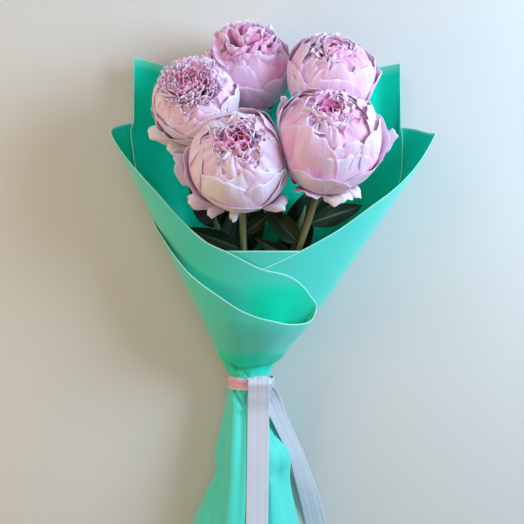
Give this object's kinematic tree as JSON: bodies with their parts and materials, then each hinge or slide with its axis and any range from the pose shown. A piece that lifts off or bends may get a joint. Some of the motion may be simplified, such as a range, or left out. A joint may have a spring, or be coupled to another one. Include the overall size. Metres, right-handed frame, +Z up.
{
  "type": "bunch of peonies",
  "caption": "Wrapped bunch of double pale pink peonies in mint film with a rolled front, tied at the waist with satin ribbon, lying on its back.",
  "frame": {"origin": "under the middle of the bunch, on the surface it lies on", "axes": "+Y from the cut ends to the flowers, +Z up from the surface, +X to the right seen from above with the flowers at the top"},
  "size_m": [0.3558, 0.6216, 0.192],
  "materials": {
    "wrap_sheet": "matte mint film, smooth, with a paler cut edge",
    "satin_ribbon": "pale pink satin weave with a soft sheen",
    "guard_petal": "soft velvety pale pink petal, darker pink at the base, paler at the edge, finely veined",
    "inner_petal": "ruffled pink petal, deep pink in the folds",
    "calyx": "green sepal with a reddish tint",
    "leaf": "dark green leaf with a paler midrib",
    "stem": "smooth green stem, reddish in places"
  },
  "bodies": {
    "root": {"outer_sheet": "wrap_sheet", "inner_sheet": "wrap_sheet", "petal_ball_front_left": "inner_petal", "guard_petal_front_left_a": "guard_petal", "guard_petal_front_left_b": "guard_petal", "guard_petal_front_left_c": "guard_petal", "guard_petal_front_left_d": "guard_petal", "guard_petal_front_left_e": "guard_petal", "calyx_front_left": "calyx", "petal_ball_front_right": "inner_petal", "guard_petal_front_right_a": "guard_petal", "guard_petal_front_right_b": "guard_petal", "guard_petal_front_right_c": "guard_petal", "guard_petal_front_right_d": "guard_petal", "guard_petal_front_right_e": "guard_petal", "calyx_front_right": "calyx", "petal_ball_left": "inner_petal", "guard_petal_left_a": "guard_petal", "guard_petal_left_b": "guard_petal", "guard_petal_left_c": "guard_petal", "guard_petal_left_d": "guard_petal", "guard_petal_left_e": "guard_petal", "calyx_left": "calyx", "petal_ball_back_centre": "inner_petal", "guard_petal_back_centre_a": "guard_petal", "guard_petal_back_centre_b": "guard_petal", "guard_petal_back_centre_c": "guard_petal", "guard_petal_back_centre_d": "guard_petal", "guard_petal_back_centre_e": "guard_petal", "calyx_back_centre": "calyx", "petal_ball_back_right": "inner_petal", "guard_petal_back_right_a": "guard_petal", "guard_petal_back_right_b": "guard_petal", "guard_petal_back_right_c": "guard_petal", "guard_petal_back_right_d": "guard_petal", "guard_petal_back_right_e": "guard_petal", "calyx_back_right": "calyx", "stem_front_left": "stem", "stem_front_right": "stem", "stem_left": "stem", "stem_back_centre": "stem", "stem_back_right": "stem", "leaf_front_left_low": "leaf", "leaf_front_left_curled": "leaf", "leaf_front_middle": "leaf", "leaf_front_right_low": "leaf", "leaf_front_right_wide": "leaf", "leaf_left_side": "leaf", "leaf_back_centre": "leaf", "leaf_back_right": "leaf", "ribbon_band": "satin_ribbon", "ribbon_knot": "satin_ribbon", "ribbon_tail_front": "satin_ribbon", "ribbon_tail_side": "satin_ribbon"}
  },
  "joints": []
}
